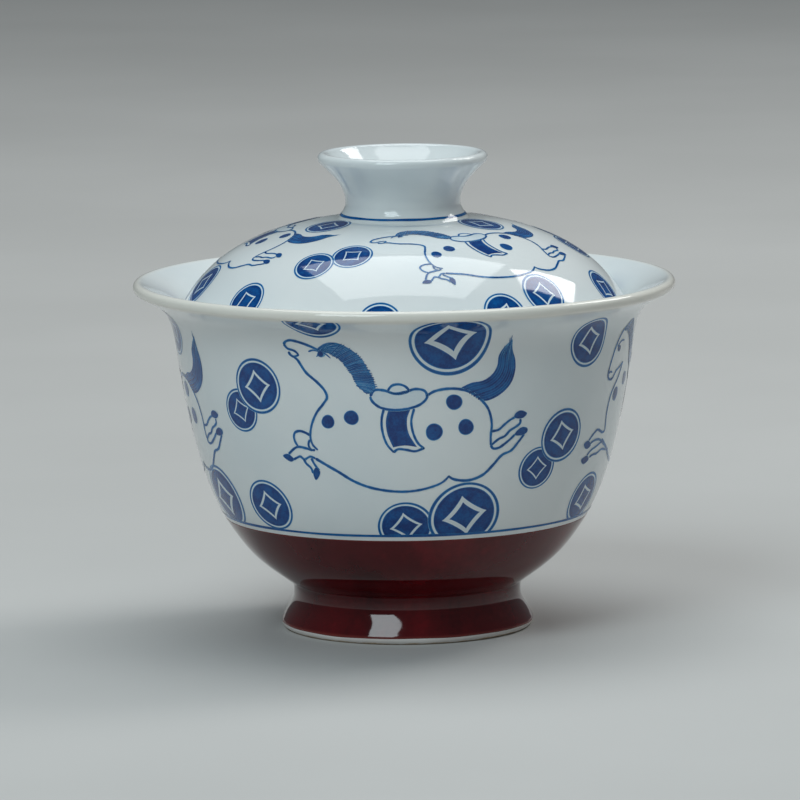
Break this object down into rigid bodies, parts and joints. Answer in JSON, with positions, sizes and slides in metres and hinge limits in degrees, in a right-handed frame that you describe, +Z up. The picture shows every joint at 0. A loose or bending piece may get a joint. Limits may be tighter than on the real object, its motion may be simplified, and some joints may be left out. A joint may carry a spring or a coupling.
{
  "type": "gaiwan",
  "caption": "Porcelain lidded tea bowl with a flared lip, a flared foot ring and a loose domed lid with a hollow ring knob.",
  "frame": {"origin": "centre of the foot ring's standing face, at the height of the table", "axes": "+Z up along the common axis of the bowl and the lid; -Y is the front, where a painted horse faces the viewer"},
  "size_m": [0.098, 0.098, 0.0863],
  "materials": {
    "white_porcelain": "clear, faintly blue glaze over white porcelain, very glossy, painted under the glaze in cobalt blue",
    "red_glaze": "deep oxblood red glaze, very glossy",
    "cobalt_painting": "cobalt blue brushwork under the clear glaze, soft at its edges"
  },
  "bodies": {
    "bowl": {"bowl_body": "white_porcelain", "bowl_red_glaze": "red_glaze", "foot_ring": "white_porcelain", "foot_red_glaze": "red_glaze"},
    "lid": {"lid_dome": "white_porcelain", "lid_knob": "white_porcelain"}
  },
  "joints": [
    {"name": "lid_lift", "type": "slide", "parent": "bowl", "child": "lid", "axis": [0, 0, 1], "range_m": [0, 0.06]}
  ]
}
